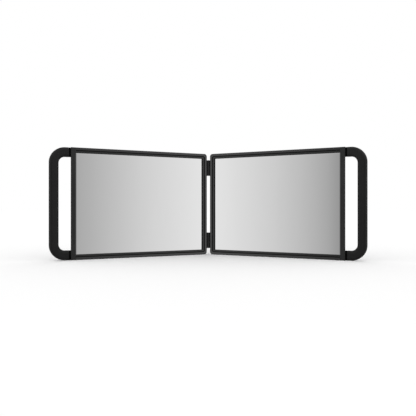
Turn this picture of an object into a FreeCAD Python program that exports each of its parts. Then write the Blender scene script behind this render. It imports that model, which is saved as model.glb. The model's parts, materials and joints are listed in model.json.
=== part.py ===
import FreeCAD, Part
import math
import os

# Folding mirror: two framed mirror panels on a pair of pin hinges, with a loop handle at each outer end.
# Millimetres, +Z up. It stands on its lower edges with the panels turned in towards the front (-Y), and the
# origin is at the middle of the bottom of its box.
#
# A panel is drawn once, laid out flat: x runs outwards from the hinge axis, y runs back from it, z is up.
# The right-hand panel is that drawing turned in about the hinge axis, and the left-hand one mirrors it.

V = FreeCAD.Vector
UP = V(0, 0, 1)
BACKWARDS = V(0, 1, 0)
OUTWARDS = V(1, 0, 0)

# Whole object
REST_TURN = 27.15  # degrees that each panel is turned in from flat where it stands
FRAME_HEIGHT = 200.0
PANEL_LENGTH = 267.8  # hinge-side edge of the frame to the outer face of the end bar
FACE_SETBACK = 0.25  # front rim behind the hinge axis, so that closed rims stay apart
CORNER_RADIUS = 5.5  # frame corners beside the hinges
EDGE_BREAK = 0.3  # small rounding on moulded edges
OVERRUN = 1.0  # how far a cutting shape runs past what it cuts
MATCH_SHARE = 1e-6  # two places match if they differ by less than this share of the height

# Frame: a three-sided moulded channel, open at the outer end
WALL = 2.2
RIM_WIDTH = 4.8
RIM_THICKNESS = 1.6
RIM_ROUND = 1.1

# Bosses for the cover screws, on the inside of the frame's wall
BOSS_RADIUS = 2.3
BOSS_SKIN = 1.0  # frame wall left outside a boss
BOSS_CLEARANCE = 0.7  # boss to the edge of the glass
PILOT_DEPTH = 6.0
RAIL_SCREW_SHARES = (0.16, 0.48, 0.8)  # places along each rail
BAR_SCREW_SHARES = (0.2, 0.5, 0.8)  # places up the end bar
STILE_SCREW_SHARES = (0.5,)  # places up the hinge-side stile

# Bezel: the inner trim that slides in behind the rim and holds the glass
GROOVE_WIDTH = 1.3  # shadow groove between rim and bezel
GROOVE_RADIUS = 4.0  # corners of the groove, on the rim's side
BEZEL_WIDTH = 3.45
BEZEL_FLANGE = 1.5
BEZEL_DROP = 0.7  # bezel face behind the rim's face
BEZEL_CHAMFER = 0.5
OPENING_RADIUS = 1.0  # corners of the visible opening
SLIDE_CLEARANCE = 0.1

# Mirror glass and its backing board
GLASS_THICKNESS = 3.0
GLASS_BEVEL_SHOWN = 1.9  # bevel inside the visible opening
GLASS_BEVEL_DEPTH = 0.25
BOARD_THICKNESS = 2.0
BOARD_INSET = 1.0  # board edge inside the glass edge

# End bar that closes the channel and carries the handle
BAR_LAP = 1.0  # bar over the edge of the glass
BAR_CLEARANCE = 0.2
BAR_CORE = 7.55
BAR_SIDE = 2.2  # straight part of the bar's outer face, from the front
BAR_LEAN = 2.6  # how far the rest of it leans in by the rear cover
BAR_SKIN = 0.6  # bar left between a pilot hole and the glass's rebate
TONGUE_LENGTH = 5.0
TONGUE_DEPTH = 5.0

# Rear cover
COVER_THICKNESS = 2.4
COVER_STEP = 0.3  # cover inside the frame's outline
COVER_ROUND = 0.8
FIELD_INSET = 14.0  # border round the sunk field of the back
FIELD_DEPTH = 0.5
FIELD_RADIUS = 6.0
RIB_MARGIN = 11.6  # ribs clear of the handle core's tangs
RIB_THICKNESS = 1.6
RIB_SHARES = (0.333, 0.667)  # places of the upright ribs between the end ribs

# Handle: steel core in a moulded grip, with a dark collar between grip and end bar
CORE_WIDTH = 8.0
CORE_THICKNESS = 2.5
CORE_CLEARANCE = 0.9  # backing board to core
TANG_LENGTH = 36.0  # core inside the frame, from the end bar's outer face
TANG_SCREW_SHARES = (0.42, 0.84)  # places along the tang
GRIP_SIDE = 4.15  # grip beside the core
GRIP_WALL = 1.9  # grip behind the core
GRIP_SETBACK = 0.5  # grip face behind the rim's face
GRIP_ROUND = 5.0
GRIP_ROUND_SHARE = 0.45  # most rounding, of the grip's thinner side
ARM_EXTRA = 0.95  # arms wider than the upright bar
GRIP_INSET = 0.1  # grip inside the frame's height, top and bottom
COLLAR_LENGTH = 3.35
COLLAR_STEP = 0.2
ARM_STRAIGHT = 6.15
SLOT_CORNER_RADIUS = 11.0

# Hinges
PIN_RADIUS = 1.25
PIN_CLEARANCE = 0.05  # running fit in the right-hand knuckles
PIN_SINK = 0.6  # pin ends inside the barrel
BARREL_WALL = 1.45
BARREL_CLEARANCE = 0.3  # barrel to the opposite frame
KNUCKLE_COUNT = 3
KNUCKLE_LENGTH = 9.8
BARREL_ROUND = 0.5
WASHER_THICKNESS = 0.7
WASHER_PLAY = 0.05
WASHER_STEP = 0.3  # washer rim inside the barrel
HINGE_INSET = 12.5  # frame's top or bottom edge to the barrel
LEAF_EXTRA = 3.0  # leaf body past the slot in the frame's wall
LEAF_CLEARANCE = 0.3  # leaf body to the glass
STOP_GAP = 0.15  # stop pad to the middle plane when the panels are flat
STOP_CLEARANCE = 0.7  # stop pad to the barrel
STOP_BACK = 1.4  # stop pad short of the rear cover
LEAF_SCREW_SHARES = (0.2, 0.8)  # places up the hinge

# Flat-head screws, all driven from the back
SCREW_RADIUS = 1.0
SCREW_HEAD_RADIUS = 1.9
TANG_SCREW_RADIUS = 1.5
TANG_SCREW_HEAD_RADIUS = 2.8
SCREW_SINK = 0.15
SCREW_HOLE_CLEARANCE = 0.15
RECESS_SPAN_SHARE = 1.15  # cross recess, of the head's radius
RECESS_WIDTH_SHARE = 0.3
RECESS_DEPTH_SHARE = 0.45

# Places along x
BARREL_RADIUS = PIN_RADIUS + BARREL_WALL
FRAME_START = BARREL_RADIUS + BARREL_CLEARANCE
FRAME_STOP = FRAME_START + PANEL_LENGTH
END_BAR_WIDTH = BAR_LAP + BAR_CLEARANCE + BAR_CORE
BAR_START = FRAME_STOP - END_BAR_WIDTH
COVER_STOP = FRAME_STOP - BAR_LEAN - COVER_STEP
ARM_START = FRAME_STOP + COLLAR_LENGTH
GRIP_WIDTH = CORE_WIDTH + 2 * GRIP_SIDE
TANG_WIDTH = CORE_WIDTH + ARM_EXTRA
ARM_WIDTH = GRIP_WIDTH + ARM_EXTRA
BEND_RADIUS = SLOT_CORNER_RADIUS + GRIP_WIDTH
HANDLE_END = ARM_START + ARM_STRAIGHT + BEND_RADIUS
TANG_END = FRAME_STOP - TANG_LENGTH

# Insets from the frame's outer edge, and the hinge leaf's body between the frame's wall and the glass
LIP_INSET = RIM_WIDTH + GROOVE_WIDTH
LIP_RADIUS = GROOVE_RADIUS - GROOVE_WIDTH
RAIL_WIDTH = LIP_INSET + BEZEL_WIDTH
BOSS_INSET = BOSS_SKIN + BOSS_RADIUS
GLASS_INSET = BOSS_INSET + BOSS_RADIUS + BOSS_CLEARANCE
LEAF_START = FRAME_START + WALL + SLIDE_CLEARANCE
LEAF_STOP = FRAME_START + GLASS_INSET - LEAF_CLEARANCE

# Places along y
FACE = FACE_SETBACK
RIM_BACK = FACE + RIM_THICKNESS
BEZEL_FACE = FACE + BEZEL_DROP
BEZEL_STEP = RIM_BACK + SLIDE_CLEARANCE
GLASS_FACE = BEZEL_STEP + BEZEL_FLANGE
GLASS_BACK = GLASS_FACE + GLASS_THICKNESS
BOARD_BACK = GLASS_BACK + BOARD_THICKNESS
CORE_FRONT = BOARD_BACK + CORE_CLEARANCE
COVER_FACE = CORE_FRONT + CORE_THICKNESS
BACK = COVER_FACE + COVER_THICKNESS
BOSS_FRONT = GLASS_FACE + BAR_CLEARANCE
GRIP_FRONT = FACE + GRIP_SETBACK
GRIP_BACK = COVER_FACE + GRIP_WALL
GRIP_DEPTH = GRIP_BACK - GRIP_FRONT
GRIP_EDGE = min(GRIP_ROUND, GRIP_ROUND_SHARE * min(GRIP_DEPTH, GRIP_WIDTH))

# Heights
ARM_CENTRE = GRIP_INSET + ARM_WIDTH / 2
RIB_INSET = ARM_CENTRE + TANG_WIDTH / 2 + RIB_MARGIN
KNUCKLE_PITCH = KNUCKLE_LENGTH + WASHER_THICKNESS + 2 * WASHER_PLAY
HINGE_LENGTH = (KNUCKLE_COUNT - 1) * KNUCKLE_PITCH + KNUCKLE_LENGTH
HINGE_FOOT = {"lower": HINGE_INSET, "upper": FRAME_HEIGHT - HINGE_INSET - HINGE_LENGTH}

# The row frame: the hinge axis is set back so that the box is centred on y = 0
TURN = math.radians(REST_TURN)
FRONT_REACH = (
    (HANDLE_END - GRIP_EDGE) * math.sin(TURN) - (GRIP_FRONT + GRIP_EDGE) * math.cos(TURN) + GRIP_EDGE
)
COVER_CORNER = FRAME_START + COVER_STEP + COVER_ROUND
BACK_REACH = (BACK - COVER_ROUND) * math.cos(TURN) - COVER_CORNER * math.sin(TURN) + COVER_ROUND
AXIS_Y = (FRONT_REACH - BACK_REACH) / 2


def block(x0, x1, y0, y1, z0, z1):
    """Box between two corners."""
    return Part.makeBox(x1 - x0, y1 - y0, z1 - z0, V(x0, y0, z0))


def rod(radius, x, y0, y1, z):
    """Cylinder along y."""
    return Part.makeCylinder(radius, y1 - y0, V(x, y0, z), BACKWARDS)


def outline(corners, y):
    """Closed wire at depth y through corners (x, z, radius), each rounded to its radius."""
    points = [V(x, y, z) for x, z, radius in corners]
    edges = []
    starts, ends = [], []
    for i, (x, z, radius) in enumerate(corners):
        here = points[i]
        arriving = (here - points[i - 1]).normalize()
        leaving = (points[(i + 1) % len(points)] - here).normalize()
        half_turn = arriving.getAngle(leaving) / 2
        reach = max(radius, 0) * math.tan(half_turn)
        starts.append(here - arriving * reach)
        ends.append(here + leaving * reach)
    for i, (x, z, radius) in enumerate(corners):
        if radius > 0:
            inward = (starts[i] + ends[i] - points[i] * 2).normalize()
            to_middle = (starts[i] - points[i]).Length
            half_turn = math.atan(to_middle / radius)
            middle = points[i] + inward * (radius / math.cos(half_turn) - radius)
            edges.append(Part.Arc(starts[i], middle, ends[i]).toShape())
        edges.append(Part.LineSegment(ends[i], starts[(i + 1) % len(corners)]).toShape())
    return Part.Wire(edges)


def prism(corners, y0, y1):
    """Solid of an outline, from depth y0 to y1."""
    return Part.Face(outline(corners, y0)).extrude(V(0, y1 - y0, 0))


def frame_corners(inset, stop, radius=None):
    """The frame's outline moved in on its closed sides, up to x = stop, with concentric or given corners."""
    start, low, high = FRAME_START + inset, inset, FRAME_HEIGHT - inset
    if radius is None:
        radius = CORNER_RADIUS - inset
    return [(start, low, radius), (stop, low, 0), (stop, high, 0), (start, high, radius)]


def edges_where(shape, test):
    """Edges whose every sampled point passes a test."""
    found = []
    for edge in shape.Edges:
        first, last = edge.ParameterRange
        samples = [edge.valueAt(first + (last - first) * share) for share in (0.0, 0.5, 1.0)]
        if all(test(p) for p in samples):
            found.append(edge)
    return found


def near(a, b):
    """True if two places agree, within rounding."""
    return abs(a - b) < FRAME_HEIGHT * MATCH_SHARE


def on_outer_edge(p, inset=0.0, radius=CORNER_RADIUS):
    """True on the frame's outline moved in by an inset, corners included, apart from its open end."""
    start, low, high = FRAME_START + inset, inset, FRAME_HEIGHT - inset
    if near(p.x, start) or near(p.z, low) or near(p.z, high):
        return True
    middle_z = low + radius if p.z < FRAME_HEIGHT / 2 else high - radius
    return p.x < start + radius and near(math.hypot(p.x - start - radius, p.z - middle_z), radius)


def screw_places():
    """(x, z) of the cover screws that go into the frame: along both rails and up the stile."""
    places = []
    for share in RAIL_SCREW_SHARES:
        x = FRAME_START + share * (BAR_START - FRAME_START)
        places += [(x, BOSS_INSET), (x, FRAME_HEIGHT - BOSS_INSET)]
    places += [(FRAME_START + BOSS_INSET, share * FRAME_HEIGHT) for share in STILE_SCREW_SHARES]
    return places


def bar_screw_places():
    """(x, z) of the cover screws that go into the end bar."""
    x = BAR_START + BAR_LAP + BAR_CLEARANCE + BAR_SKIN + SCREW_RADIUS
    return [(x, share * FRAME_HEIGHT) for share in BAR_SCREW_SHARES]


def leaf_screw_places():
    """(x, z) of the screws that hold both hinge leaves of a panel."""
    x = (LEAF_START + LEAF_STOP) / 2
    return [(x, foot + share * HINGE_LENGTH) for foot in HINGE_FOOT.values() for share in LEAF_SCREW_SHARES]


def tang_screw_places():
    """(x, z) of the screws that hold the two tangs of a handle core."""
    heights = (ARM_CENTRE, FRAME_HEIGHT - ARM_CENTRE)
    xs = [TANG_END + share * (BAR_START - TANG_END) for share in TANG_SCREW_SHARES]
    return [(x, z) for z in heights for x in xs]


def frame():
    """Three-sided channel with a front rim, screw bosses and a slot for each hinge leaf."""
    past = BAR_START + OVERRUN
    shape = prism(frame_corners(0, BAR_START), FACE, COVER_FACE)
    rim_edges = edges_where(shape, lambda p: near(p.y, FACE) and on_outer_edge(p))
    shape = shape.makeFillet(RIM_ROUND, rim_edges)
    shape = shape.cut(prism(frame_corners(WALL, past), RIM_BACK, COVER_FACE + OVERRUN))
    rim_opening = frame_corners(RIM_WIDTH, past, GROOVE_RADIUS)
    shape = shape.cut(prism(rim_opening, FACE - OVERRUN, RIM_BACK + OVERRUN))
    inner_edges = edges_where(shape, lambda p: near(p.y, FACE) and on_outer_edge(p, RIM_WIDTH, GROOVE_RADIUS))
    shape = shape.makeFillet(EDGE_BREAK, inner_edges)
    for x, z in screw_places():
        shape = shape.fuse(rod(BOSS_RADIUS, x, BOSS_FRONT, COVER_FACE, z))
    for x, z in screw_places():
        shape = shape.cut(rod(SCREW_RADIUS, x, COVER_FACE - PILOT_DEPTH, COVER_FACE + OVERRUN, z))
    for foot in HINGE_FOOT.values():
        slot = block(
            FRAME_START - OVERRUN,
            FRAME_START + WALL + OVERRUN,
            RIM_BACK,
            COVER_FACE + OVERRUN,
            foot - SLIDE_CLEARANCE,
            foot + HINGE_LENGTH + SLIDE_CLEARANCE,
        )
        shape = shape.cut(slot)
    return shape.removeSplitter()


def bezel():
    """Three-sided trim: a flange behind the rim, and a raised lip over the edge of the glass."""
    shape = prism(frame_corners(LIP_INSET, BAR_START, LIP_RADIUS), BEZEL_FACE, GLASS_FACE)
    flange = prism(frame_corners(WALL + SLIDE_CLEARANCE, BAR_START), BEZEL_STEP, GLASS_FACE)
    past = BAR_START + OVERRUN
    opening = frame_corners(RAIL_WIDTH, past, OPENING_RADIUS)
    opening = prism(opening, BEZEL_FACE - OVERRUN, GLASS_FACE + OVERRUN)
    shape = shape.fuse(flange).cut(opening).removeSplitter()
    inner = edges_where(
        shape, lambda p: near(p.y, BEZEL_FACE) and on_outer_edge(p, RAIL_WIDTH, OPENING_RADIUS)
    )
    shape = shape.makeChamfer(BEZEL_CHAMFER, inner)
    outer = edges_where(shape, lambda p: near(p.y, BEZEL_FACE) and on_outer_edge(p, LIP_INSET, LIP_RADIUS))
    return shape.makeFillet(EDGE_BREAK, outer)


def glass_corners(inset):
    """The glass's outline, moved in by an inset."""
    low = GLASS_INSET + inset
    start, stop = FRAME_START + low, BAR_START + BAR_LAP - inset
    return [(start, low, 0), (stop, low, 0), (stop, FRAME_HEIGHT - low, 0), (start, FRAME_HEIGHT - low, 0)]


def mirror():
    """Silvered glass with a shallow bevel round its face, of one visible width on all sides."""
    shoulder = GLASS_FACE + GLASS_BEVEL_DEPTH
    start, stop = FRAME_START + RAIL_WIDTH + GLASS_BEVEL_SHOWN, BAR_START - GLASS_BEVEL_SHOWN
    low = RAIL_WIDTH + GLASS_BEVEL_SHOWN
    high = FRAME_HEIGHT - low
    face = outline([(start, low, 0), (stop, low, 0), (stop, high, 0), (start, high, 0)], GLASS_FACE)
    edge = outline(glass_corners(0), shoulder)
    bevel = Part.makeLoft([face, edge], True, True)
    return bevel.fuse(prism(glass_corners(0), shoulder, GLASS_BACK)).removeSplitter()


def backing_board():
    """Fibreboard sheet behind the glass."""
    return prism(glass_corners(BOARD_INSET), GLASS_BACK, BOARD_BACK)


def tang_slots():
    """The space that the two tangs of the handle core take through the end bar or a collar."""
    half = TANG_WIDTH / 2
    slots = [
        block(TANG_END, ARM_START, CORE_FRONT, COVER_FACE, z - half, z + half)
        for z in (ARM_CENTRE, FRAME_HEIGHT - ARM_CENTRE)
    ]
    return slots[0].fuse(slots[1])


def bar_envelope():
    """The end bar's outer form, whose outer face leans in from its straight part to the rear cover."""
    plan = [
        V(BAR_START, FACE, 0),
        V(FRAME_STOP, FACE, 0),
        V(FRAME_STOP, FACE + BAR_SIDE, 0),
        V(FRAME_STOP - BAR_LEAN, COVER_FACE, 0),
        V(BAR_START, COVER_FACE, 0),
    ]
    return Part.Face(Part.makePolygon(plan + plan[:1])).extrude(UP * FRAME_HEIGHT)


def end_bar():
    """Bar that closes the channel: a lip over the glass, tongues into the rails and slots for the tangs."""
    shape = bar_envelope()
    rim_edges = edges_where(shape, lambda p: near(p.y, FACE))
    rim_edges = [edge for edge in rim_edges if not near(edge.BoundBox.XMax, BAR_START)]
    shape = shape.makeFillet(RIM_ROUND, rim_edges)
    glass_side = edges_where(shape, lambda p: near(p.y, FACE) and near(p.x, BAR_START))
    shape = shape.makeFillet(EDGE_BREAK, glass_side)
    edge = GLASS_INSET - BAR_CLEARANCE
    rebate = block(
        BAR_START - OVERRUN,
        BAR_START + BAR_LAP + BAR_CLEARANCE,
        GLASS_FACE,
        COVER_FACE + OVERRUN,
        edge,
        FRAME_HEIGHT - edge,
    )
    shape = shape.cut(rebate)
    low, high = WALL + SLIDE_CLEARANCE, edge
    tip, front = BAR_START - TONGUE_LENGTH, GLASS_FACE + BAR_CLEARANCE
    for z0, z1 in ((low, high), (FRAME_HEIGHT - high, FRAME_HEIGHT - low)):
        shape = shape.fuse(block(tip, BAR_START, front, front + TONGUE_DEPTH, z0, z1))
    for x, z in bar_screw_places():
        shape = shape.cut(rod(SCREW_RADIUS, x, COVER_FACE - PILOT_DEPTH, COVER_FACE + OVERRUN, z))
    return shape.cut(tang_slots()).removeSplitter()


def screw_seat(x, z, radius, head_radius):
    """Cutter for a countersunk hole in the rear cover."""
    head_top = BACK - SCREW_SINK
    depth = head_radius - radius
    seat = Part.makeCone(radius, head_radius, depth, V(x, head_top - depth, z), BACKWARDS)
    mouth = rod(head_radius, x, head_top, BACK + OVERRUN, z)
    hole = rod(radius + SCREW_HOLE_CLEARANCE, x, COVER_FACE - OVERRUN, head_top - depth / 2, z)
    return seat.fuse(mouth).fuse(hole)


def rear_cover():
    """Back plate with a sunk field, countersunk holes, and ribs that press the backing board on the glass."""
    shape = prism(frame_corners(COVER_STEP, COVER_STOP), COVER_FACE, BACK)
    back_edges = edges_where(shape, lambda p: near(p.y, BACK))
    shape = shape.makeFillet(COVER_ROUND, back_edges)
    x0, x1 = FRAME_START + FIELD_INSET, COVER_STOP + COVER_STEP - FIELD_INSET
    z0, z1 = FIELD_INSET, FRAME_HEIGHT - FIELD_INSET
    field = [(x0, z0, FIELD_RADIUS), (x1, z0, FIELD_RADIUS), (x1, z1, FIELD_RADIUS), (x0, z1, FIELD_RADIUS)]
    shape = shape.cut(prism(field, BACK - FIELD_DEPTH, BACK + OVERRUN))
    field_edges = edges_where(
        shape,
        lambda p: near(p.y, BACK) and x0 - OVERRUN < p.x < x1 + OVERRUN and z0 - OVERRUN < p.z < z1 + OVERRUN,
    )
    shape = shape.makeFillet(EDGE_BREAK, field_edges)
    for x, z in screw_places() + bar_screw_places() + leaf_screw_places():
        shape = shape.cut(screw_seat(x, z, SCREW_RADIUS, SCREW_HEAD_RADIUS))
    for x, z in tang_screw_places():
        shape = shape.cut(screw_seat(x, z, TANG_SCREW_RADIUS, TANG_SCREW_HEAD_RADIUS))
    return shape.fuse(cover_ribs()).removeSplitter()


def cover_ribs():
    """Rectangle of ribs with upright ribs inside it and one along its middle."""
    x0, x1 = FRAME_START + RIB_INSET, BAR_START - RIB_INSET
    z0, z1 = RIB_INSET, FRAME_HEIGHT - RIB_INSET
    half = RIB_THICKNESS / 2
    uprights = [x0, x1] + [x0 + share * (x1 - x0) for share in RIB_SHARES]
    ribs = [block(x - half, x + half, BOARD_BACK, COVER_FACE, z0 - half, z1 + half) for x in uprights]
    ribs += [
        block(x0 - half, x1 + half, BOARD_BACK, COVER_FACE, z - half, z + half)
        for z in (z0, FRAME_HEIGHT / 2, z1)
    ]
    return ribs[0].multiFuse(ribs[1:])


def handle_corners(start, side):
    """The handle's outline from x = start round the bend and back, moved in on both sides by side."""
    low, high, end = GRIP_INSET + side, FRAME_HEIGHT - GRIP_INSET - side, HANDLE_END - side
    width, arm_width = GRIP_WIDTH - 2 * side, ARM_WIDTH - 2 * side
    outer, inner = BEND_RADIUS - side, SLOT_CORNER_RADIUS + side
    return [
        (start, low, 0),
        (end, low, outer),
        (end, high, outer),
        (start, high, 0),
        (start, high - arm_width, 0),
        (end - width, high - arm_width, inner),
        (end - width, low + arm_width, inner),
        (start, low + arm_width, 0),
    ]


def handle_core():
    """Steel U plate: two tangs inside the frame, and the stiffener of the grip."""
    shape = prism(handle_corners(TANG_END, GRIP_SIDE), CORE_FRONT, COVER_FACE)
    for x, z in tang_screw_places():
        shape = shape.cut(rod(TANG_SCREW_RADIUS, x, CORE_FRONT - OVERRUN, COVER_FACE + OVERRUN, z))
    return shape


def handle_grip():
    """Moulded loop grip with rounded edges, hollow where the core runs through it."""
    shape = prism(handle_corners(ARM_START, 0), GRIP_FRONT, GRIP_BACK)
    long_edges = edges_where(shape, lambda p: near(p.y, GRIP_FRONT) or near(p.y, GRIP_BACK))
    long_edges = [edge for edge in long_edges if not near(edge.BoundBox.XMax, ARM_START)]
    shape = shape.makeFillet(GRIP_EDGE, long_edges)
    arm_ends = edges_where(shape, lambda p: near(p.x, ARM_START))
    shape = shape.makeFillet(EDGE_BREAK, arm_ends)
    return shape.cut(prism(handle_corners(ARM_START - OVERRUN, GRIP_SIDE), CORE_FRONT, COVER_FACE))


def handle_collars():
    """Dark collars on the tangs, between the grip's arms and the end bar."""
    collars = []
    half = ARM_WIDTH / 2 - COLLAR_STEP
    front, back = GRIP_FRONT + COLLAR_STEP, GRIP_BACK - COLLAR_STEP
    start = FRAME_STOP - BAR_LEAN
    for z in (ARM_CENTRE, FRAME_HEIGHT - ARM_CENTRE):
        collar = block(start, ARM_START, front, back, z - half, z + half)
        along = [edge for edge in collar.Edges if near(edge.BoundBox.XLength, ARM_START - start)]
        collar = collar.makeFillet(GRIP_EDGE - COLLAR_STEP, along)
        collars.append(collar.cut(bar_envelope()).cut(tang_slots()))
    return Part.Compound(collars)


def knuckle_spans(foot):
    """(bottom, top) of the knuckles of a hinge, from its foot upwards."""
    bottoms = [foot + i * KNUCKLE_PITCH for i in range(KNUCKLE_COUNT)]
    return [(bottom, bottom + KNUCKLE_LENGTH) for bottom in bottoms]


def hinge_leaf(foot, own_knuckles, bore):
    """Leaf trapped in the frame's wall: body, stop pad, and a neck and barrel for each of its knuckles."""
    top = foot + HINGE_LENGTH
    body = block(
        LEAF_START, LEAF_STOP, BOSS_FRONT, COVER_FACE, foot - LEAF_EXTRA, top + LEAF_EXTRA
    )
    plug = block(FRAME_START, LEAF_START, BEZEL_STEP, COVER_FACE, foot, top)
    pad_front = BARREL_RADIUS + STOP_CLEARANCE
    stop_pad = block(STOP_GAP, FRAME_START, pad_front, COVER_FACE - STOP_BACK, foot, top)
    stop_pad = stop_pad.makeFillet(EDGE_BREAK, edges_where(stop_pad, lambda p: near(p.x, STOP_GAP)))
    shape = body.fuse(plug).fuse(stop_pad)
    for i in own_knuckles:
        z0, z1 = knuckle_spans(foot)[i]
        barrel = Part.makeCylinder(BARREL_RADIUS, z1 - z0, V(0, 0, z0), UP)
        rims = edges_where(barrel, lambda p: near(math.hypot(p.x, p.y), BARREL_RADIUS))
        rims = [edge for edge in rims if near(edge.BoundBox.ZMin, edge.BoundBox.ZMax)]
        barrel = barrel.makeFillet(BARREL_ROUND, rims)
        neck = block(0, FRAME_START, 0, pad_front, z0, z1)
        shape = shape.fuse(neck).fuse(barrel)
    bore_rod = Part.makeCylinder(bore, HINGE_LENGTH + 2 * OVERRUN, V(0, 0, foot - OVERRUN), UP)
    shape = shape.cut(bore_rod)
    for x, z in leaf_screw_places():
        if foot < z < top:
            shape = shape.cut(rod(SCREW_RADIUS, x, COVER_FACE - PILOT_DEPTH, COVER_FACE + OVERRUN, z))
    return shape.removeSplitter()


def hinge_pin(foot):
    """Steel pin through the knuckles of a hinge, with its ends broken."""
    pin = Part.makeCylinder(PIN_RADIUS, HINGE_LENGTH - 2 * PIN_SINK, V(0, 0, foot + PIN_SINK), UP)
    ends = [edge for edge in pin.Edges if near(edge.BoundBox.ZMin, edge.BoundBox.ZMax)]
    return pin.makeFillet(EDGE_BREAK, ends)


def hinge_washers(foot):
    """Friction washers between the knuckles of a hinge."""
    spans = knuckle_spans(foot)
    washers = []
    for below in spans[:-1]:
        base = V(0, 0, below[1] + WASHER_PLAY)
        ring = Part.makeCylinder(BARREL_RADIUS - WASHER_STEP, WASHER_THICKNESS, base, UP)
        washers.append(ring.cut(Part.makeCylinder(PIN_RADIUS, WASHER_THICKNESS, base, UP)))
    return Part.Compound(washers)


def screw(x, z, tip, radius, head_radius):
    """Flat-head screw with a cross recess, its head in the rear cover and its tip at depth tip."""
    head_top = BACK - SCREW_SINK
    depth = head_radius - radius
    head = Part.makeCone(radius, head_radius, depth, V(x, head_top - depth, z), BACKWARDS)
    shape = head.fuse(rod(radius, x, tip, head_top - depth, z))
    span, width = head_radius * RECESS_SPAN_SHARE / 2, head_radius * RECESS_WIDTH_SHARE / 2
    bottom = head_top - head_radius * RECESS_DEPTH_SHARE
    for half_x, half_z in ((span, width), (width, span)):
        arm = block(x - half_x, x + half_x, bottom, head_top + OVERRUN, z - half_z, z + half_z)
        shape = shape.cut(arm)
    return shape.removeSplitter()


def screws(places, tip, radius=SCREW_RADIUS, head_radius=SCREW_HEAD_RADIUS):
    """A group of like screws."""
    return Part.Compound([screw(x, z, tip, radius, head_radius) for x, z in places])


def panel(side):
    """Every piece of one panel, drawn flat, by node name."""
    left = side == "left"
    own_knuckles = (0, 2) if left else (1,)
    bore = PIN_RADIUS if left else PIN_RADIUS + PIN_CLEARANCE
    screw_tip = COVER_FACE - PILOT_DEPTH
    pieces = {
        "frame": frame(),
        "bezel": bezel(),
        "mirror": mirror(),
        "backing_board": backing_board(),
        "rear_cover": rear_cover(),
        "end_bar": end_bar(),
        "handle_core": handle_core(),
        "handle_grip": handle_grip(),
        "handle_collars": handle_collars(),
        "cover_screws": screws(screw_places() + bar_screw_places(), screw_tip),
        "hinge_screws": screws(leaf_screw_places(), screw_tip),
        "handle_screws": screws(tang_screw_places(), CORE_FRONT, TANG_SCREW_RADIUS, TANG_SCREW_HEAD_RADIUS),
    }
    for level, foot in HINGE_FOOT.items():
        pieces[f"{level}_hinge_leaf"] = hinge_leaf(foot, own_knuckles, bore)
    return {f"{side}_{name}": shape for name, shape in pieces.items()}


def stand(shape, side):
    """Turns a flat panel's piece in about the hinge axis and sets the axis in its place."""
    shape = shape.copy()
    turn = -REST_TURN
    if side == "left":
        shape = shape.mirror(V(0, 0, 0), OUTWARDS)
        turn = REST_TURN
    shape.rotate(V(0, 0, 0), UP, turn)
    shape.translate(V(0, AXIS_Y, 0))
    return shape


def hinge_hardware():
    """Pins and washers of both hinges, which stay with the left-hand panel."""
    pieces = {}
    for level, foot in HINGE_FOOT.items():
        pieces[f"{level}_hinge_pin"] = hinge_pin(foot)
        pieces[f"{level}_hinge_washers"] = hinge_washers(foot)
    return pieces


def main():
    os.makedirs("parts", exist_ok=True)
    nodes = {}
    for side in ("left", "right"):
        for name, shape in panel(side).items():
            nodes[name] = stand(shape, side)
    for name, shape in hinge_hardware().items():
        nodes[name] = stand(shape, "left")
    for name, shape in nodes.items():
        shape.exportStep(f"parts/{name}.step")
        if not shape.isValid():
            print("not valid:", name)
    box = Part.Compound(list(nodes.values())).optimalBoundingBox()
    print(f"{len(nodes)} nodes, hinge axis at y = {AXIS_Y:.4f}")
    print(f"lowest corner {box.XMin:.3f} {box.YMin:.3f} {box.ZMin:.3f}")
    print(f"highest corner {box.XMax:.3f} {box.YMax:.3f} {box.ZMax:.3f}")


main()
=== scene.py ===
import json
import math

import bmesh
import bpy
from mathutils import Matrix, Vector


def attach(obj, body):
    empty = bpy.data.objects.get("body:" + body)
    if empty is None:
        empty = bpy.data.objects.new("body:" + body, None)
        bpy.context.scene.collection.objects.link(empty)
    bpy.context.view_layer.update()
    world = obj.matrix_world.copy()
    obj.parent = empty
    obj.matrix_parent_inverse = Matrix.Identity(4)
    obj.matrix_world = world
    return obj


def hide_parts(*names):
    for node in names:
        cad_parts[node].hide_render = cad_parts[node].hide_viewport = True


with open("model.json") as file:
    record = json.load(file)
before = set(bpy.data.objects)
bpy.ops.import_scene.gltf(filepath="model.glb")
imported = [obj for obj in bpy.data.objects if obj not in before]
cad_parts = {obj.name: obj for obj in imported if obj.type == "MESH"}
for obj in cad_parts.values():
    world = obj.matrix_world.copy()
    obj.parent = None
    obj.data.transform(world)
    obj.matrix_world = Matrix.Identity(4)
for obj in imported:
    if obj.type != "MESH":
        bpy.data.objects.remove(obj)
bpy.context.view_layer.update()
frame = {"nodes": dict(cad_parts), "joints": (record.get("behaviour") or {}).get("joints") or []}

# Folding mirror: two mirror panels on pin hinges, standing in a V on a pale studio floor.
# Metres, in the row frame. Every size of the object comes from the frame.

MM = 0.001
SIDES = {"left": -1, "right": 1}  # sign of x on each panel
SCREW_GROUPS = ("cover_screws", "hinge_screws", "handle_screws")

# The hinge axis, and how far each panel is turned in from flat where it stands
FOLD = frame["joints"][0]
AXIS = Vector(FOLD["pos_m"])
TURN = math.radians(-FOLD["range_deg"][0] / 2)

# Camera: level, a little below the middle of the mirrors
CAMERA_FROM_AXIS = Vector((0.0125, -1.0451, -0.0076))
CAMERA_TURN_DEGREES = 0.73
CAMERA_LENS_MM = 45.34

# Studio: floor, and the surroundings that the object's surfaces mirror
FLOOR_SIZE = 24.0
FLOOR_GREY = 0.97
FLOOR_GLOW = 0.045  # seen by the camera only, so that open floor is white
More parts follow.
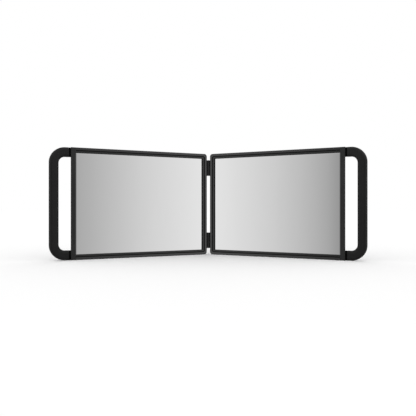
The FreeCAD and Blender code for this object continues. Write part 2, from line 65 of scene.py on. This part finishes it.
# Greys that glossy surfaces see round the horizon, by degrees to the right of the camera's side
SURROUND_STOPS = (
    (-180, 1.0),
    (-150, 0.9),
    (-135, 0.3),
    (-85, 0.25),
    (-66, 0.95),
    (-54, 0.828),
    (-48, 0.66),
    (-45, 0.55),
    (-42.4, 0.44),
    (-41, 0.325),
    (-25, 0.2),
    (25, 0.22),
    (39.5, 0.43),
    (47, 0.69),
    (54, 0.86),
    (66, 0.95),
    (85, 0.25),
    (135, 0.3),
    (150, 0.9),
    (180, 1.0),
)
OVERHEAD_GREY = 0.8
GROUND_GREY = 0.3
LEVEL_BAND = (0.14, 0.5)  # sine of the elevation where the horizon gives way to overhead or ground


# Node helpers

COLOUR_A, COLOUR_B, COLOUR_OUT = 6, 7, 2  # colour sockets of a Mix node
UP = (0.0, 1.0)
DOWN = (1.0, 0.0)
ONE_NOISE = (0.3, 0.7)  # where most values of a noise lie
TWO_NOISES = (0.12, 0.4)  # and where most products of two noises lie


def add(tree, kind, **settings):
    """A new node with its properties set."""
    node = tree.nodes.new(kind)
    for name, value in settings.items():
        setattr(node, name, value)
    return node


def plug(tree, source, socket):
    """Links an output to an input socket, or sets any other value on it."""
    if isinstance(source, bpy.types.NodeSocket):
        tree.links.new(source, socket)
    else:
        socket.default_value = source


def feed(tree, node, **sources):
    """Plugs a node's inputs by their names, with _ for a space, and returns the node."""
    for name, source in sources.items():
        plug(tree, source, node.inputs[name.replace("_", " ")])
    return node


def maths(tree, operation, a, b):
    """Output of a Math node."""
    node = add(tree, "ShaderNodeMath", operation=operation)
    plug(tree, a, node.inputs[0])
    plug(tree, b, node.inputs[1])
    return node.outputs[0]


def remap(tree, value, span, to=UP, smooth=False):
    """A value's span stretched to another one, and clamped to it."""
    node = add(tree, "ShaderNodeMapRange", interpolation_type="SMOOTHSTEP" if smooth else "LINEAR")
    feed(tree, node, Value=value, From_Min=span[0], From_Max=span[1], To_Min=to[0], To_Max=to[1])
    return node.outputs["Result"]


def grey(value):
    """Colour of a grey."""
    return (value, value, value, 1.0)


def blend_colours(tree, factor, first, second):
    """Output of a colour mix."""
    node = feed(tree, add(tree, "ShaderNodeMix", data_type="RGBA"), Factor=factor)
    plug(tree, first, node.inputs[COLOUR_A])
    plug(tree, second, node.inputs[COLOUR_B])
    return node.outputs[COLOUR_OUT]


def blend_greys(tree, factor, greys):
    """Output of a mix of two greys."""
    return blend_colours(tree, factor, grey(greys[0]), grey(greys[1]))


def noise(tree, place, size, detail=2.0, roughness=0.5):
    """Noise whose lumps are about a size across."""
    node = add(tree, "ShaderNodeTexNoise")
    feed(tree, node, Vector=place, Scale=1 / size, Detail=detail, Roughness=roughness)
    return node.outputs["Fac"]


def drifting(tree, cloud, middle, drift):
    """A value that drifts with a noise to either side of its middle."""
    return remap(tree, cloud, ONE_NOISE, (middle - drift, middle + drift))


def cells(tree, place, size, feature="F1"):
    """Distance in a pattern of cells of a size."""
    node = add(tree, "ShaderNodeTexVoronoi", feature=feature)
    feed(tree, node, Vector=place, Scale=1 / size)
    return node.outputs["Distance"]


def stretched(tree, place, scale):
    """Coordinates whose patterns are drawn out along the axes of small scale."""
    node = feed(tree, add(tree, "ShaderNodeMapping"), Vector=place, Scale=scale)
    return node.outputs["Vector"]


def relief(tree, height, depth, under=None):
    """Bump of a depth, on top of another bump."""
    node = feed(tree, add(tree, "ShaderNodeBump"), Height=height, Distance=depth, Strength=1.0)
    if under is not None:
        tree.links.new(under, node.inputs["Normal"])
    return node.outputs["Normal"]


def new_material(name):
    """(material, its tree, its shader, object coordinates)."""
    material = bpy.data.materials.new(name)
    material.use_nodes = True
    tree = material.node_tree
    shader = next(node for node in tree.nodes if node.type == "BSDF_PRINCIPLED")
    place = add(tree, "ShaderNodeTexCoord").outputs["Object"]
    return material, tree, shader, place


# Where the panels stand

def back_of(side):
    """Unit vector square to a panel, out of its back."""
    return Vector((SIDES[side] * math.sin(TURN), math.cos(TURN), 0.0))


def out_of(side):
    """Unit vector along a panel, away from the hinge."""
    return Vector((SIDES[side] * math.cos(TURN), -math.sin(TURN), 0.0))


def depth_range(node, side):
    """Least and greatest depth of a CAD node, along its panel's back direction from the origin."""
    depths = [vertex.co.dot(back_of(side)) for vertex in frame["nodes"][node].data.vertices]
    return min(depths), max(depths)


def depth_in(tree, place, side):
    """How far back a place is, square to a panel."""
    depth = add(tree, "ShaderNodeVectorMath", operation="DOT_PRODUCT")
    tree.links.new(place, depth.inputs[0])
    depth.inputs[1].default_value = back_of(side)
    return depth.outputs["Value"]


# Moulded plastic of the frames, end bars, grips and washers

PLASTIC_CLOUD_SIZE = 45 * MM
PLASTIC_SPECK_SIZE = 1.4 * MM
PLASTIC_SHADE_DRIFT_SHARE = 0.18
PLASTIC_GLOSS_DRIFT = 0.04


def spark_grain(tree, place, size):
    """Fine grain that a spark-eroded mould leaves."""
    return noise(tree, place, size, detail=3.0, roughness=0.6)


def moulded_plastic(name, shade, roughness, specular, grain_size, grain_depth):
    """Black moulded plastic: fine spark grain, slow changes of gloss, and a slight drift of shade."""
    material, tree, shader, place = new_material(name)
    shader.inputs["Specular IOR Level"].default_value = specular
    cloud = noise(tree, place, PLASTIC_CLOUD_SIZE, detail=3.0)
    speck = noise(tree, place, PLASTIC_SPECK_SIZE)
    tone = remap(tree, maths(tree, "MULTIPLY", cloud, speck), TWO_NOISES)
    drift = shade * PLASTIC_SHADE_DRIFT_SHARE
    colour = blend_greys(tree, tone, (shade - drift, shade + drift))
    gloss = drifting(tree, cloud, roughness, PLASTIC_GLOSS_DRIFT)
    normal = relief(tree, spark_grain(tree, place, grain_size), grain_depth)
    feed(tree, shader, Base_Color=colour, Roughness=gloss, Normal=normal)
    return material


# Rear covers: a satin border round a sunk field with a leather grain

COVER_GREYS = (0.023, 0.032)
COVER_SPECULAR = 0.45
COVER_ROUGHNESS = (0.42, 0.5)  # on the border, and in the field
COVER_GLOSS_DRIFT = 0.02
COVER_CLOUD_SIZE = 50 * MM
COVER_TONE_SPAN = (0.3, 1.0)
COVER_GRAIN_SIZE = 0.35 * MM
COVER_GRAIN_DEPTH = 0.012 * MM
FIELD_DEPTHS = (0.35 * MM, 0.25 * MM)  # behind the border's face, where the field is full and where it ends
PEBBLE_SIZE = 1.5 * MM
PEBBLE_DEPTH = 0.12 * MM
PEBBLE_SPAN = (0.05, 0.6)  # distance in its cell, from its crown to its foot
PEBBLE_TONE_SHARE = 0.35
PEBBLE_WARP_SIZE = 3 * MM
PEBBLE_WARP = (0.985, 1.015)


def sunk_field(tree, place, side):
    """1 on the sunk field of a rear cover, and 0 on its border."""
    face = depth_range(f"{side}_rear_cover", side)[1]
    return remap(tree, depth_in(tree, place, side), [face - depth for depth in FIELD_DEPTHS], DOWN)


def grained_cover_plastic(side):
    """Black plastic of the back: satin border, and a leather grain in the sunk field."""
    material, tree, shader, place = new_material(f"{side}_cover_plastic")
    shader.inputs["Specular IOR Level"].default_value = COVER_SPECULAR
    field = sunk_field(tree, place, side)
    warped = add(tree, "ShaderNodeVectorMath", operation="SCALE")
    tree.links.new(place, warped.inputs[0])
    feed(tree, warped, Scale=remap(tree, noise(tree, place, PEBBLE_WARP_SIZE), UP, PEBBLE_WARP))
    distance = cells(tree, warped.outputs[0], PEBBLE_SIZE, "SMOOTH_F1")
    pebble = remap(tree, distance, PEBBLE_SPAN, DOWN, smooth=True)
    leather = maths(tree, "MULTIPLY", pebble, field)
    fine = relief(tree, spark_grain(tree, place, COVER_GRAIN_SIZE), COVER_GRAIN_DEPTH)
    normal = relief(tree, leather, PEBBLE_DEPTH, under=fine)
    cloud = noise(tree, place, COVER_CLOUD_SIZE, detail=3.0)
    crown = maths(tree, "MULTIPLY", leather, PEBBLE_TONE_SHARE)
    tone = remap(tree, maths(tree, "ADD", crown, cloud), COVER_TONE_SPAN)
    polish = remap(tree, field, UP, COVER_ROUGHNESS)
    gloss = maths(tree, "ADD", polish, drifting(tree, cloud, 0.0, COVER_GLOSS_DRIFT))
    colour = blend_greys(tree, tone, COVER_GREYS)
    feed(tree, shader, Base_Color=colour, Roughness=gloss, Normal=normal)
    return material


# Bezels: a satin lip, with a dull groove and slope sunk behind it, which are darkened with painted shade

LIP_GREYS = (0.006, 0.008)
LIP_ROUGHNESS = 0.2
LIP_GLOSS_DRIFT = 0.03
# Painted shade: the groove and slope behind the lip get a darker grey and less reflection, by depth
SUNK_PAINTED_SHADE_GREY = 0.003
SUNK_EXTRA_ROUGHNESS = 0.25
SHADE_AND_DULLING_DEPTHS = (0.1 * MM, 1.0 * MM)  # behind the lip's face, where it starts and where it is full
BEZEL_SPECULAR_AND_PAINTED_SHADE = (0.58, 0.12)  # on the lip, and sunk
BEZEL_GRAIN_SIZE = 0.3 * MM
BEZEL_GRAIN_DEPTH = 0.008 * MM


def bezel_plastic(side):
    """Trim round the glass: satin on its raised lip, and dull in the groove and down its slope, where
    painted shade darkens the colour and weakens the reflection.
    """
    material, tree, shader, place = new_material(f"{side}_bezel_plastic")
    face = depth_range(f"{side}_bezel", side)[0]
    # Painted shade: the deeper behind the lip's face, the darker the colour and the weaker the reflection
    sunk = remap(tree, depth_in(tree, place, side), [face + depth for depth in SHADE_AND_DULLING_DEPTHS])
    cloud = noise(tree, place, PLASTIC_CLOUD_SIZE, detail=3.0)
    colour = blend_colours(tree, sunk, blend_greys(tree, cloud, LIP_GREYS), grey(SUNK_PAINTED_SHADE_GREY))
    polish = drifting(tree, cloud, LIP_ROUGHNESS, LIP_GLOSS_DRIFT)
    gloss = maths(tree, "ADD", polish, maths(tree, "MULTIPLY", sunk, SUNK_EXTRA_ROUGHNESS))
    sheen = remap(tree, sunk, UP, BEZEL_SPECULAR_AND_PAINTED_SHADE)
    normal = relief(tree, spark_grain(tree, place, BEZEL_GRAIN_SIZE), BEZEL_GRAIN_DEPTH)
    feed(tree, shader, Base_Color=colour, Roughness=gloss, Specular_IOR_Level=sheen, Normal=normal)
    return material


# Mirrors

SILVER_GREYS = (0.925, 0.915)  # clean, and hazed
SILVER_ROUGHNESS = (0.004, 0.012)
WIPE_SIZE = 16 * MM
WIPE_STRETCH = (1.0, 1.0, 0.25)
DUST_SIZE = 0.8 * MM
HAZE_TONE_SPAN = (0.2, 0.4)
HAZE_GLOSS_SPAN = (0.2, 0.45)


def mirror_glass():
    """Silvered glass: a clean mirror with the faintest wipe marks."""
    material, tree, shader, place = new_material("mirror_glass")
    shader.inputs["Metallic"].default_value = 1.0
    wipes = noise(tree, stretched(tree, place, WIPE_STRETCH), WIPE_SIZE, detail=4.0, roughness=0.6)
    dust = noise(tree, place, DUST_SIZE, detail=1.0)
    haze = maths(tree, "MULTIPLY", wipes, dust)
    colour = blend_greys(tree, remap(tree, haze, HAZE_TONE_SPAN), SILVER_GREYS)
    gloss = remap(tree, haze, HAZE_GLOSS_SPAN, SILVER_ROUGHNESS)
    feed(tree, shader, Base_Color=colour, Roughness=gloss)
    return material


# Handle collars: black rubber, with painted shade for the joint between grip and bar

# Black rubber, made darker and less reflective than rubber is, as painted shade in the joint
COLLAR_BLACK_AND_PAINTED_SHADE_GREYS = (0.0008, 0.002)
COLLAR_SPECULAR_AND_PAINTED_SHADE = 0.04
COLLAR_ROUGHNESS = (0.62, 0.74)
COLLAR_CLOUD_SIZE = 5 * MM
COLLAR_TOOTH_SIZE = 0.25 * MM
COLLAR_TOOTH_DEPTH = 0.02 * MM


def collar_rubber():
    """Dull black rubber with a fine tooth, whose near-black colour and faint reflection are partly painted
    shade for the joint between grip and bar.
    """
    material, tree, shader, place = new_material("collar_rubber")
    shader.inputs["Specular IOR Level"].default_value = COLLAR_SPECULAR_AND_PAINTED_SHADE
    cloud = noise(tree, place, COLLAR_CLOUD_SIZE)
    tooth = noise(tree, place, COLLAR_TOOTH_SIZE, detail=3.0, roughness=0.65)
    colour = blend_greys(tree, cloud, COLLAR_BLACK_AND_PAINTED_SHADE_GREYS)
    gloss = remap(tree, cloud, ONE_NOISE, COLLAR_ROUGHNESS)
    feed(tree, shader, Base_Color=colour, Roughness=gloss, Normal=relief(tree, tooth, COLLAR_TOOTH_DEPTH))
    return material


# Hinge leaves

HINGE_GREYS = (0.004, 0.009)
HINGE_SPECULAR = 0.45
HINGE_ROUGHNESS = (0.32, 0.4)
HINGE_CLOUD_SIZE = 8 * MM
PEEL_SIZE = 0.9 * MM
PEEL_DEPTH = 0.015 * MM


def painted_hinge_metal():
    """Die-cast metal under thin black paint, with a slight orange peel."""
    material, tree, shader, place = new_material("hinge_metal")
    shader.inputs["Specular IOR Level"].default_value = HINGE_SPECULAR
    cloud = noise(tree, place, HINGE_CLOUD_SIZE, detail=3.0)
    peel = noise(tree, place, PEEL_SIZE, detail=1.5)
    colour = blend_greys(tree, cloud, HINGE_GREYS)
    gloss = remap(tree, cloud, ONE_NOISE, HINGE_ROUGHNESS)
    feed(tree, shader, Base_Color=colour, Roughness=gloss, Normal=relief(tree, peel, PEEL_DEPTH))
    return material


# Hinge pins and screws

STEEL_SHADE_SHARES = (0.85, 1.1)
STEEL_ROUGHNESS_DRIFT = (-0.06, 0.08)
STEEL_CLOUD_SIZE = 3 * MM
TURNING_SIZE = 0.12 * MM
TURNING_STRETCH = (0.05, 0.05, 1.0)
TURNING_DEPTH = 0.004 * MM


def turned_steel(name, shade, roughness):
    """Bare or blackened steel with fine turning marks round upright parts."""
    material, tree, shader, place = new_material(name)
    shader.inputs["Metallic"].default_value = 1.0
    marks = noise(tree, stretched(tree, place, TURNING_STRETCH), TURNING_SIZE)
    cloud = noise(tree, place, STEEL_CLOUD_SIZE, detail=3.0)
    colour = blend_greys(tree, cloud, [shade * share for share in STEEL_SHADE_SHARES])
    gloss = remap(tree, marks, ONE_NOISE, [roughness + drift for drift in STEEL_ROUGHNESS_DRIFT])
    feed(tree, shader, Base_Color=colour, Roughness=gloss, Normal=relief(tree, marks, TURNING_DEPTH))
    return material


# Handle cores

ZINC_DARK = (0.5, 0.51, 0.53, 1.0)
ZINC_PALE = (0.62, 0.63, 0.64, 1.0)
ZINC_ROUGHNESS = (0.28, 0.42)
SPANGLE_SIZE = 4 * MM
SPANGLE_SPAN = (0.1, 0.8)


def zinc_plated_steel():
    """Plated steel of the handle cores: soft spangle and a dull sheen."""
    material, tree, shader, place = new_material("core_steel")
    shader.inputs["Metallic"].default_value = 1.0
    spangle = cells(tree, place, SPANGLE_SIZE)
    colour = blend_colours(tree, remap(tree, spangle, SPANGLE_SPAN), ZINC_DARK, ZINC_PALE)
    gloss = remap(tree, spangle, SPANGLE_SPAN, ZINC_ROUGHNESS)
    feed(tree, shader, Base_Color=colour, Roughness=gloss)
    return material


# Backing boards

BOARD_DARK = (0.11, 0.065, 0.036, 1.0)
BOARD_PALE = (0.2, 0.128, 0.076, 1.0)
BOARD_ROUGHNESS = (0.75, 0.9)
FIBRE_SIZE = 0.7 * MM
FIBRE_STRETCH = (1.0, 1.0, 0.3)
FIBRE_DEPTH = 0.03 * MM
FLECK_SIZE = 6 * MM


def hardboard():
    """Brown pressed fibre of the backing boards."""
    material, tree, shader, place = new_material("backing_board")
    fibres = noise(tree, stretched(tree, place, FIBRE_STRETCH), FIBRE_SIZE, detail=4.0, roughness=0.7)
    flecks = noise(tree, place, FLECK_SIZE, detail=3.0)
    tone = remap(tree, maths(tree, "MULTIPLY", fibres, flecks), TWO_NOISES)
    colour = blend_colours(tree, tone, BOARD_DARK, BOARD_PALE)
    gloss = remap(tree, fibres, ONE_NOISE, BOARD_ROUGHNESS)
    feed(tree, shader, Base_Color=colour, Roughness=gloss, Normal=relief(tree, fibres, FIBRE_DEPTH))
    return material


# Finish of every CAD node

def plastic_finishes():
    """Moulded plastics by the ending of the nodes' names."""
    return {
        "frame": moulded_plastic(
            "frame_plastic",
            shade=0.003,
            roughness=0.15,
            specular=0.95,
            grain_size=0.35 * MM,
            grain_depth=0.012 * MM,
        ),
        "end_bar": moulded_plastic(
            "end_bar_plastic",
            shade=0.022,
            roughness=0.45,
            specular=0.2,
            grain_size=0.35 * MM,
            grain_depth=0.012 * MM,
        ),
        "handle_grip": moulded_plastic(
            "grip_plastic",
            shade=0.0105,
            roughness=0.4,
            specular=0.22,
            grain_size=0.22 * MM,
            grain_depth=0.008 * MM,
        ),
        "hinge_washers": moulded_plastic(
            "washer_plastic",
            shade=0.012,
            roughness=0.35,
            specular=0.5,
            grain_size=0.3 * MM,
            grain_depth=0.004 * MM,
        ),
    }


def finish_nodes():
    """Gives each CAD node its material, and returns the screws' finish."""
    finishes = plastic_finishes()
    finishes["handle_collars"] = collar_rubber()
    finishes["handle_core"] = zinc_plated_steel()
    finishes["mirror"] = mirror_glass()
    finishes["backing_board"] = hardboard()
    finishes["hinge_leaf"] = painted_hinge_metal()
    finishes["hinge_pin"] = turned_steel("pin_steel", shade=0.5, roughness=0.3)
    finishes["screws"] = turned_steel("screw_steel", shade=0.06, roughness=0.36)
    for side in SIDES:
        finishes[f"{side}_rear_cover"] = grained_cover_plastic(side)
        finishes[f"{side}_bezel"] = bezel_plastic(side)
    for name, node in frame["nodes"].items():
        finish = next(finish for ending, finish in finishes.items() if name.endswith(ending))
        node.data.materials.clear()
        node.data.materials.append(finish)
    return finishes["screws"]


# Screws: flat heads with a chamfered rim and a tapered cross recess, driven in from the back

SCREW_SEGMENTS = 40
SCREW_SEED = 7
RIM_CHAMFER_SHARE = 0.08  # of the head's radius
SEAT_GAP_SHARE = 0.02  # head inside its seat, of the head's radius
RECESS_SPAN_SHARE = 0.62
RECESS_WIDTH_SHARE = 0.2
RECESS_DEPTH_SHARE = 0.5
RECESS_TAPER_SHARE = 0.6  # bottom of the recess, of its mouth
SQUARE_CORNER = math.sqrt(2)  # from a square's middle, in half sides
WELD = 0.0005 * MM  # joins the edges of a screw's bands
CAD_WELD = 0.001 * MM  # joins the loose triangles of a CAD node
TIP_BAND = 0.01 * MM  # depth in which a point belongs to a screw's tip
SCREW_INPUTS = (
    ("Places", "NodeSocketGeometry"),
    ("Head Radius", "NodeSocketFloat"),
    ("Thread Radius", "NodeSocketFloat"),
    ("Length", "NodeSocketFloat"),
    ("Panel Turn", "NodeSocketFloat"),
    ("Seed", "NodeSocketInt"),
    ("Finish", "NodeSocketMaterial"),
)


def screw_islands(node):
    """Vertex places of each separate screw in a CAD node."""
    mesh = bmesh.new()
    mesh.from_mesh(frame["nodes"][node].data)
    bmesh.ops.remove_doubles(mesh, verts=mesh.verts, dist=CAD_WELD)
    islands, seen = [], set()
    for first in mesh.verts:
        if first in seen:
            continue
        island, waiting = [], [first]
        seen.add(first)
        while waiting:
            vertex = waiting.pop()
            island.append(vertex.co.copy())
            for edge in vertex.link_edges:
                other = edge.other_vert(vertex)
                if other not in seen:
                    seen.add(other)
                    waiting.append(other)
        islands.append(island)
    mesh.free()
    return islands


def middle_and_half(values):
    """Middle of some values' range, and half its width."""
    return (min(values) + max(values)) / 2, (max(values) - min(values)) / 2


def screw_sizes(node, side):
    """Centres of the faces of a CAD node's like screws, and their head radius, thread radius and length."""
    back, out = back_of(side), out_of(side)
    centres = []
    for island in screw_islands(node):
        depths = [point.dot(back) for point in island]
        top, tip = max(depths), min(depths)
        reach = middle_and_half([point.dot(out) for point in island])[0]
        height, head_radius = middle_and_half([point.z for point in island])
        centres.append(out * reach + back * top + Vector((0.0, 0.0, height)))
        tip_heights = [point.z for point, depth in zip(island, depths) if depth < tip + TIP_BAND]
        thread_radius = middle_and_half(tip_heights)[1]
    return centres, head_radius, thread_radius, top - tip


def moved_up(tree, mesh, height):
    """A mesh moved along z."""
    shift = feed(tree, add(tree, "ShaderNodeCombineXYZ"), Z=height).outputs["Vector"]
    move = feed(tree, add(tree, "GeometryNodeTransform"), Geometry=mesh, Translation=shift)
    return move.outputs["Geometry"]


def turned_over(tree, mesh):
    """A mesh with its faces looking the other way."""
    return feed(tree, add(tree, "GeometryNodeFlipFaces"), Mesh=mesh).outputs["Mesh"]


def ring(tree, low_radius, high_radius, low, height):
    """Open conical band from a height upwards."""
    band = add(tree, "GeometryNodeMeshCone", fill_type="NONE")
    feed(tree, band, Vertices=SCREW_SEGMENTS, Depth=height)
    feed(tree, band, Radius_Bottom=low_radius, Radius_Top=high_radius)
    return moved_up(tree, band.outputs["Mesh"], low)


def disc(tree, radius, height):
    """Filled disc at a height, facing up."""
    face = add(tree, "GeometryNodeMeshCircle", fill_type="NGON")
    feed(tree, face, Vertices=SCREW_SEGMENTS, Radius=radius)
    return moved_up(tree, face.outputs["Mesh"], height)


def screw_body(tree, given):
    """Closed body of a screw: thread, countersunk head, chamfered rim. Its face is at z = 0."""
    head = maths(tree, "MULTIPLY", given["Head Radius"], 1 - SEAT_GAP_SHARE)
    thread = given["Thread Radius"]
    chamfer = maths(tree, "MULTIPLY", head, RIM_CHAMFER_SHARE)
    face = maths(tree, "SUBTRACT", head, chamfer)
    rim = maths(tree, "MULTIPLY", chamfer, -1.0)
    slope = maths(tree, "SUBTRACT", head, thread)
    neck = maths(tree, "SUBTRACT", rim, slope)
    tip = maths(tree, "MULTIPLY", given["Length"], -1.0)
    shank = maths(tree, "SUBTRACT", neck, tip)
    bands = (
        disc(tree, face, 0.0),
        ring(tree, head, face, rim, chamfer),
        ring(tree, thread, head, neck, slope),
        ring(tree, thread, thread, tip, shank),
        turned_over(tree, disc(tree, thread, tip)),
    )
    join = add(tree, "GeometryNodeJoinGeometry")
    for band in bands:
        tree.links.new(band, join.inputs["Geometry"])
    weld = add(tree, "GeometryNodeMergeByDistance")
    feed(tree, weld, Geometry=join.outputs["Geometry"], Distance=WELD)
    return weld.outputs["Geometry"]


def recess_arm(tree, given, turn):
    """One arm of the cross recess: a four-sided taper, as far above the head's face as below it."""
    head = given["Head Radius"]
    depth = maths(tree, "MULTIPLY", head, RECESS_DEPTH_SHARE)
    height = maths(tree, "MULTIPLY", depth, 2.0)
    foot = maths(tree, "MULTIPLY", head, SQUARE_CORNER * RECESS_TAPER_SHARE)
    mouth = maths(tree, "MULTIPLY", head, SQUARE_CORNER * (2 - RECESS_TAPER_SHARE))
    taper = add(tree, "GeometryNodeMeshCone", fill_type="NGON")
    feed(tree, taper, Vertices=4, Radius_Bottom=foot, Radius_Top=mouth, Depth=height)
    square_up = add(tree, "GeometryNodeTransform")
    feed(tree, square_up, Geometry=taper.outputs["Mesh"], Rotation=(0.0, 0.0, math.pi / 4))
    narrow = add(tree, "GeometryNodeTransform")
    span = (RECESS_SPAN_SHARE, RECESS_WIDTH_SHARE, 1.0)
    feed(tree, narrow, Geometry=square_up.outputs["Geometry"], Scale=span)
    sunk = moved_up(tree, narrow.outputs["Geometry"], maths(tree, "MULTIPLY", depth, -1.0))
    arm = feed(tree, add(tree, "GeometryNodeTransform"), Geometry=sunk, Rotation=(0.0, 0.0, turn))
    return arm.outputs["Geometry"]


def driven_turn(tree, seed):
    """Rotation that each screw was driven to, about its own axis."""
    angle = add(tree, "FunctionNodeRandomValue", data_type="FLOAT")
    low, high = [socket for socket in angle.inputs if socket.type == "VALUE"][:2]
    low.default_value = 0.0
    high.default_value = math.pi
    feed(tree, angle, Seed=seed)
    spin = next(socket for socket in angle.outputs if socket.type == "VALUE" and socket.enabled)
    return feed(tree, add(tree, "ShaderNodeCombineXYZ"), Z=spin).outputs["Vector"]


def screw_tree():
    """Geometry Nodes that set a cross-recess screw at every vertex, square to a panel."""
    tree = bpy.data.node_groups.new("cross_recess_screws", "GeometryNodeTree")
    for name, kind in SCREW_INPUTS:
        tree.interface.new_socket(name, in_out="INPUT", socket_type=kind)
    tree.interface.new_socket("Screws", in_out="OUTPUT", socket_type="NodeSocketGeometry")
    given = add(tree, "NodeGroupInput").outputs
    screw = add(tree, "GeometryNodeMeshBoolean", operation="DIFFERENCE", solver="EXACT")
    feed(tree, screw, Mesh_1=screw_body(tree, given))
    for turn in (0.0, math.pi / 2):
        tree.links.new(recess_arm(tree, given, turn), screw.inputs["Mesh 2"])
    lean = add(tree, "ShaderNodeCombineXYZ")
    feed(tree, lean, X=-math.pi / 2, Z=given["Panel Turn"])
    placed = add(tree, "GeometryNodeInstanceOnPoints")
    feed(tree, placed, Points=given["Places"], Instance=screw.outputs["Mesh"])
    feed(tree, placed, Rotation=lean.outputs["Vector"])
    driven = add(tree, "GeometryNodeRotateInstances")
    feed(tree, driven, Instances=placed.outputs["Instances"], Rotation=driven_turn(tree, given["Seed"]))
    solid = feed(tree, add(tree, "GeometryNodeRealizeInstances"), Geometry=driven.outputs["Instances"])
    finish = add(tree, "GeometryNodeSetMaterial")
    feed(tree, finish, Geometry=solid.outputs["Geometry"], Material=given["Finish"])
    feed(tree, add(tree, "NodeGroupOutput"), Screws=finish.outputs["Geometry"])
    return tree


def make_screws(tree, side, group, seed, finish):
    """One mesh of a panel's like screws, in the place of its CAD node."""
    node = f"{side}_{group}"
    centres, head_radius, thread_radius, length = screw_sizes(node, side)
    points = bpy.data.meshes.new(f"{node}_places")
    points.from_pydata(centres, [], [])
    piece = bpy.data.objects.new(f"{node}_dressed", points)
    bpy.context.scene.collection.objects.link(piece)
    modifier = piece.modifiers.new("screws", "NODES")
    modifier.node_group = tree
    values = {
        "Head Radius": head_radius,
        "Thread Radius": thread_radius,
        "Length": length,
        "Panel Turn": -SIDES[side] * TURN,
        "Seed": seed,
        "Finish": finish,
    }
    for socket in tree.interface.items_tree:
        if socket.name in values:
            modifier[socket.identifier] = values[socket.name]
    evaluated = piece.evaluated_get(bpy.context.evaluated_depsgraph_get())
    mesh = bpy.data.meshes.new_from_object(evaluated)
    piece.modifiers.remove(modifier)
    piece.data = mesh
    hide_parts(node)
    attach(piece, f"{side}_panel")


def dress_screws(finish):
    """Dresses every group of screws, each with a seed of its own."""
    tree = screw_tree()
    groups = [(side, group) for side in SIDES for group in SCREW_GROUPS]
    for seed, (side, group) in enumerate(groups, SCREW_SEED):
        make_screws(tree, side, group, seed, finish)
    bpy.data.node_groups.remove(tree)


# Studio

def floor_material():
    """Matt white, with a glow that the camera alone sees."""
    material = bpy.data.materials.new("studio_floor")
    material.use_nodes = True
    tree = material.node_tree
    tree.nodes.clear()
    matt = feed(tree, add(tree, "ShaderNodeBsdfDiffuse"), Color=grey(FLOOR_GREY))
    camera_ray = add(tree, "ShaderNodeLightPath").outputs["Is Camera Ray"]
    glow_level = maths(tree, "MULTIPLY", camera_ray, FLOOR_GLOW)
    glow = feed(tree, add(tree, "ShaderNodeEmission"), Strength=glow_level)
    both = add(tree, "ShaderNodeAddShader")
    tree.links.new(matt.outputs["BSDF"], both.inputs[0])
    tree.links.new(glow.outputs["Emission"], both.inputs[1])
    feed(tree, add(tree, "ShaderNodeOutputMaterial"), Surface=both.outputs["Shader"])
    return material


def make_floor():
    """Pale floor that is white to the camera where nothing shades it, and that the mirrors don't show."""
    half = FLOOR_SIZE / 2
    corners = [(-half, -half, 0.0), (half, -half, 0.0), (half, half, 0.0), (-half, half, 0.0)]
    mesh = bpy.data.meshes.new("studio_floor")
    mesh.from_pydata(corners, [], [(0, 1, 2, 3)])
    mesh.materials.append(floor_material())
    floor = bpy.data.objects.new("studio_floor", mesh)
    bpy.context.scene.collection.objects.link(floor)
    floor.visible_glossy = False


def surround_grey(tree):
    """What glossy surfaces see in a direction: two soft lit sides, a darker front and a white backdrop."""
    direction = add(tree, "ShaderNodeSeparateXYZ")
    feed(tree, direction, Vector=add(tree, "ShaderNodeTexCoord").outputs["Generated"])
    towards_camera = maths(tree, "MULTIPLY", direction.outputs["Y"], -1.0)
    bearing = maths(tree, "ARCTAN2", direction.outputs["X"], towards_camera)
    horizon = add(tree, "ShaderNodeValToRGB")
    feed(tree, horizon, Fac=remap(tree, bearing, (-math.pi, math.pi)))
    horizon.color_ramp.interpolation = "LINEAR"
    stops = horizon.color_ramp.elements
    while len(stops) > 1:
        stops.remove(stops[-1])
    for degrees, value in SURROUND_STOPS:
        stops.new(degrees / 360 + 0.5).color = grey(value)
    stops.remove(stops[0])
    height = direction.outputs["Z"]
    upper = remap(tree, height, LEVEL_BAND, smooth=True)
    lower = remap(tree, maths(tree, "MULTIPLY", height, -1.0), LEVEL_BAND, smooth=True)
    with_top = blend_colours(tree, upper, horizon.outputs["Color"], grey(OVERHEAD_GREY))
    return blend_colours(tree, lower, with_top, grey(GROUND_GREY))


def background(tree, colour):
    """Output of a background of a colour, at a strength where white is white."""
    return feed(tree, add(tree, "ShaderNodeBackground"), Color=colour, Strength=1.0).outputs["Background"]


def make_world():
    """White to the camera, graded surroundings in reflections, and even light on everything."""
    world = bpy.data.worlds.new("studio")
    bpy.context.scene.world = world
    world.use_nodes = True
    world.cycles.sampling_method = "NONE"  # enough for even light, and quicker
    tree = world.node_tree
    tree.nodes.clear()
    ray = add(tree, "ShaderNodeLightPath").outputs
    seen_direct = maths(tree, "MAXIMUM", ray["Is Camera Ray"], ray["Is Transmission Ray"])
    shader = background(tree, grey(1.0))
    for factor, colour in ((ray["Is Glossy Ray"], surround_grey(tree)), (seen_direct, grey(1.0))):
        mix = add(tree, "ShaderNodeMixShader")
        tree.links.new(factor, mix.inputs[0])
        tree.links.new(shader, mix.inputs[1])
        tree.links.new(background(tree, colour), mix.inputs[2])
        shader = mix.outputs["Shader"]
    feed(tree, add(tree, "ShaderNodeOutputWorld"), Surface=shader)


def make_camera():
    """Level camera in front of the V."""
    data = bpy.data.cameras.new("camera")
    data.lens = CAMERA_LENS_MM
    camera = bpy.data.objects.new("camera", data)
    camera.location = AXIS + CAMERA_FROM_AXIS
    camera.rotation_euler = (math.pi / 2, 0.0, math.radians(CAMERA_TURN_DEGREES))
    bpy.context.scene.collection.objects.link(camera)
    bpy.context.scene.camera = camera


def main():
    """Builds the studio and dresses the mirror."""
    bpy.context.scene.view_settings.view_transform = "Standard"
    make_camera()
    make_world()
    make_floor()
    dress_screws(finish_nodes())


main()
